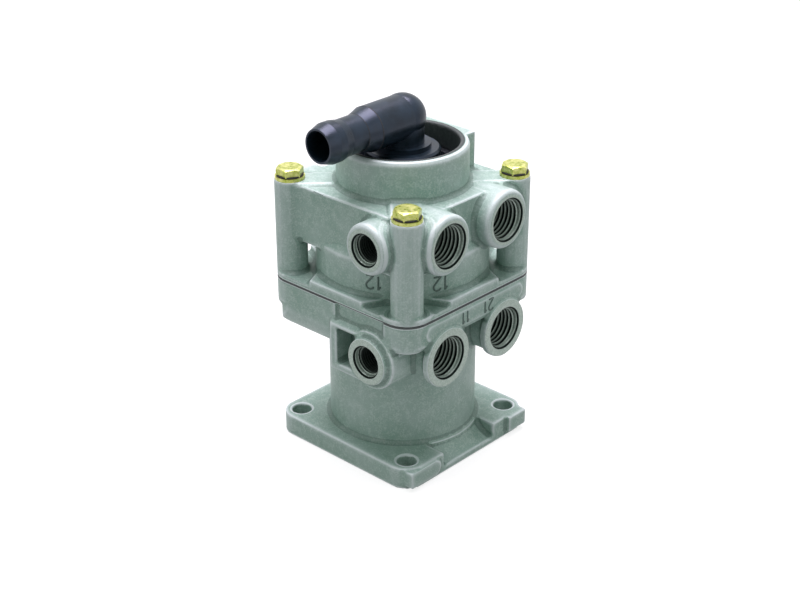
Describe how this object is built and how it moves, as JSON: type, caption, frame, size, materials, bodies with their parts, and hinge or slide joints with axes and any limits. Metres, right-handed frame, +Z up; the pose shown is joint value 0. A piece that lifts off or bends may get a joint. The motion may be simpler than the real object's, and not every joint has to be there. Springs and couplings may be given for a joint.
{
  "type": "foot brake valve",
  "caption": "Dual-circuit foot brake valve: two stacked cast housings on a square flange, threaded ports on two sides, push-rod plunger below, swivelling exhaust elbow on top.",
  "frame": {"origin": "centre of the mounting flange's underside, midway between the four mounting holes", "axes": "+Z up along the valve's axis to the exhaust, +X to the face with the four large ports, -Y to the face with the two small ports"},
  "size_m": [0.105, 0.1123, 0.1968],
  "materials": {
    "cast_alloy": "matte die casting",
    "yellow_zinc": "yellow passivated zinc",
    "black_plastic": "satin moulding",
    "rubber": "plain",
    "spring_steel": "bright drawn wire",
    "ring_steel": "oiled spring steel",
    "plunger_steel": "turned",
    "turned_alloy": "turned"
  },
  "bodies": {
    "housing": {"mounting_flange": "cast_alloy", "lower_neck": "cast_alloy", "lower_waist": "cast_alloy", "lower_housing": "cast_alloy", "lower_port_bosses": "cast_alloy", "lower_side_port": "cast_alloy", "upper_housing": "cast_alloy", "upper_port_bosses": "cast_alloy", "upper_side_port": "cast_alloy", "housing_bolts": "yellow_zinc", "bolt_washers": "yellow_zinc", "joint_o_ring": "rubber", "exhaust_cap": "black_plastic", "exhaust_cap_o_ring": "rubber", "exhaust_circlip": "ring_steel", "plunger_guide": "turned_alloy", "plunger_guide_circlip": "ring_steel", "plunger_wiper": "rubber", "primary_return_spring": "spring_steel", "primary_valve_spring": "spring_steel", "primary_valve_guide": "turned_alloy", "primary_guide_circlip": "ring_steel", "primary_guide_o_ring": "rubber", "relay_return_spring": "spring_steel", "secondary_valve_spring": "spring_steel", "secondary_valve_guide": "turned_alloy", "secondary_guide_circlip": "ring_steel", "secondary_guide_o_ring": "rubber"},
    "plunger": {"plunger": "plunger_steel"},
    "primary_piston": {"primary_piston": "turned_alloy", "primary_piston_o_ring": "rubber", "graduating_spring": "spring_steel"},
    "primary_valve": {"primary_valve": "turned_alloy", "primary_valve_face": "rubber"},
    "relay_piston": {"relay_piston": "turned_alloy", "relay_piston_o_ring": "rubber"},
    "secondary_valve": {"secondary_valve": "turned_alloy", "secondary_valve_face": "rubber"},
    "elbow": {"exhaust_elbow": "black_plastic", "elbow_o_ring": "rubber"}
  },
  "joints": [
    {"name": "plunger_slide", "type": "slide", "parent": "housing", "child": "plunger", "axis": [0, 0, 1], "range_m": [0, 0.01], "stiffness_N_per_m": 20000, "springref_m": -0.002, "deforming": ["graduating_spring"]},
    {"name": "primary_piston_slide", "type": "slide", "parent": "housing", "child": "primary_piston", "axis": [0, 0, 1], "range_m": [0, 0.0025], "deforming": ["primary_return_spring"]},
    {"name": "primary_valve_slide", "type": "slide", "parent": "housing", "child": "primary_valve", "axis": [0, 0, 1], "range_m": [0, 0.0015], "deforming": ["primary_valve_spring"]},
    {"name": "relay_piston_slide", "type": "slide", "parent": "housing", "child": "relay_piston", "axis": [0, 0, 1], "range_m": [0, 0.0025], "deforming": ["relay_return_spring"]},
    {"name": "secondary_valve_slide", "type": "slide", "parent": "housing", "child": "secondary_valve", "axis": [0, 0, 1], "range_m": [0, 0.0015], "deforming": ["secondary_valve_spring"]},
    {"name": "elbow_swivel", "type": "hinge", "parent": "housing", "child": "elbow", "pos_m": [0, 0, 0.1845], "axis": [0, 0, 1], "continuous": true}
  ],
  "couplings": [
    {"joint": "primary_piston_slide", "follows": "plunger_slide", "ratio": 0.25},
    {"joint": "primary_valve_slide", "follows": "plunger_slide", "ratio": 0.15},
    {"joint": "relay_piston_slide", "follows": "plunger_slide", "ratio": 0.25},
    {"joint": "secondary_valve_slide", "follows": "plunger_slide", "ratio": 0.15}
  ]
}
